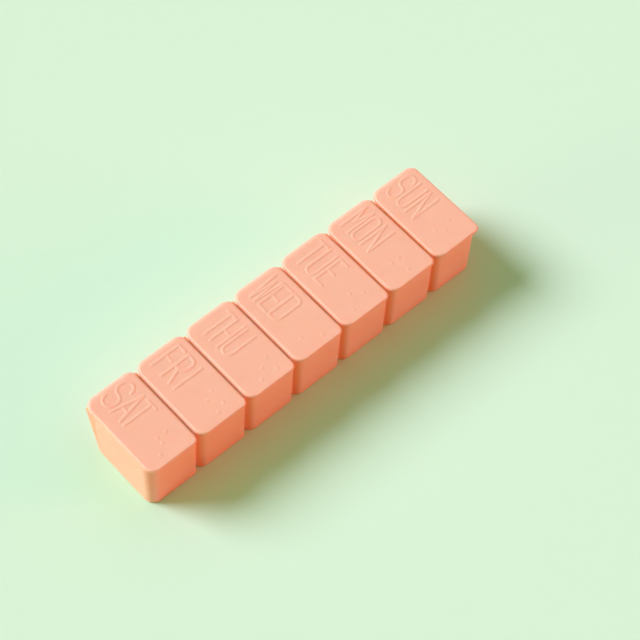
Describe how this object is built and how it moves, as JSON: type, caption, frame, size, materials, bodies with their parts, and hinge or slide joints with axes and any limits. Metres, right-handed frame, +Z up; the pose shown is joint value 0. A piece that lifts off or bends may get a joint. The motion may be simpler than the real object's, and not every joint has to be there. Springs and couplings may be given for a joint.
{
  "type": "weekly pill box",
  "caption": "Long plastic pill box: a tray of side-by-side cups, each under its own hinged lid that clips on a bar along the back and lifts from its front edge.",
  "frame": {"origin": "middle of the box's length and depth, on the flat underside that it stands on", "axes": "+X along the row of cups, from the Saturday lid to the Sunday lid; +Y from the lids' front edges to the hinge line at the back; +Z up through the lids"},
  "size_m": [0.1484, 0.036, 0.0252],
  "materials": {
    "peach_plastic": "satin moulded polypropylene, peach orange"
  },
  "bodies": {
    "tray": {"tray": "peach_plastic"},
    "saturday_lid": {"saturday_lid": "peach_plastic"},
    "friday_lid": {"friday_lid": "peach_plastic"},
    "thursday_lid": {"thursday_lid": "peach_plastic"},
    "wednesday_lid": {"wednesday_lid": "peach_plastic"},
    "tuesday_lid": {"tuesday_lid": "peach_plastic"},
    "monday_lid": {"monday_lid": "peach_plastic"},
    "sunday_lid": {"sunday_lid": "peach_plastic"}
  },
  "joints": [
    {"name": "saturday_hinge", "type": "hinge", "parent": "tray", "child": "saturday_lid", "pos_m": [-0.0639, 0.0155, 0.0227], "axis": [-1, 0, 0], "range_deg": [0, 110]},
    {"name": "friday_hinge", "type": "hinge", "parent": "tray", "child": "friday_lid", "pos_m": [-0.0426, 0.0155, 0.0227], "axis": [-1, 0, 0], "range_deg": [0, 110]},
    {"name": "thursday_hinge", "type": "hinge", "parent": "tray", "child": "thursday_lid", "pos_m": [-0.0213, 0.0155, 0.0227], "axis": [-1, 0, 0], "range_deg": [0, 110]},
    {"name": "wednesday_hinge", "type": "hinge", "parent": "tray", "child": "wednesday_lid", "pos_m": [0, 0.0155, 0.0227], "axis": [-1, 0, 0], "range_deg": [0, 110]},
    {"name": "tuesday_hinge", "type": "hinge", "parent": "tray", "child": "tuesday_lid", "pos_m": [0.0213, 0.0155, 0.0227], "axis": [-1, 0, 0], "range_deg": [0, 110]},
    {"name": "monday_hinge", "type": "hinge", "parent": "tray", "child": "monday_lid", "pos_m": [0.0426, 0.0155, 0.0227], "axis": [-1, 0, 0], "range_deg": [0, 110]},
    {"name": "sunday_hinge", "type": "hinge", "parent": "tray", "child": "sunday_lid", "pos_m": [0.0639, 0.0155, 0.0227], "axis": [-1, 0, 0], "range_deg": [0, 110]}
  ]
}
